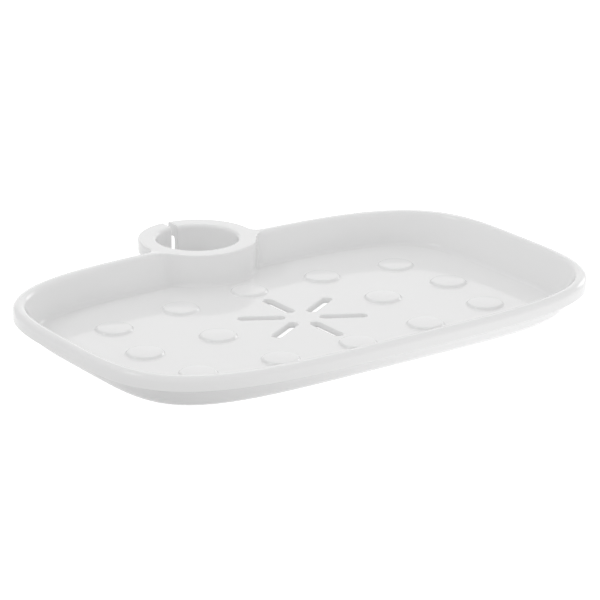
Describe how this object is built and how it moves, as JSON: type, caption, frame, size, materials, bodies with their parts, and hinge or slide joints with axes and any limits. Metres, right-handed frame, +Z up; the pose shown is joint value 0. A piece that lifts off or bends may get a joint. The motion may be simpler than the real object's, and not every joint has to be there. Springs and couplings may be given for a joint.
{
  "type": "riser rail soap dish",
  "caption": "Shallow rounded soap dish with a rolled rim, a drain and soap rests, held on a shower riser rail by a split spring collar on its back edge.",
  "frame": {"origin": "on the axis of the collar's bore, level with the dish's flat underside", "axes": "+X along the dish, +Y from the dish towards the slit at the back of the collar, +Z up along the rail"},
  "size_m": [0.1642, 0.1261, 0.0115],
  "materials": {
    "moulding": "glossy white moulded plastic"
  },
  "bodies": {
    "dish": {"dish_pan": "moulding", "rail_collar": "moulding"},
    "arm_left": {"clip_arm_left": "moulding"},
    "arm_right": {"clip_arm_right": "moulding"}
  },
  "joints": [
    {"name": "arm_right_flex", "type": "hinge", "parent": "dish", "child": "arm_right", "pos_m": [0.018, 0, 0.0056], "axis": [0, 0, -1], "range_deg": [0, 2.5]},
    {"name": "arm_left_flex", "type": "hinge", "parent": "dish", "child": "arm_left", "pos_m": [-0.018, 0, 0.0056], "axis": [0, 0, 1], "range_deg": [0, 2.5]}
  ],
  "couplings": [
    {"joint": "arm_left_flex", "follows": "arm_right_flex", "ratio": 1}
  ]
}
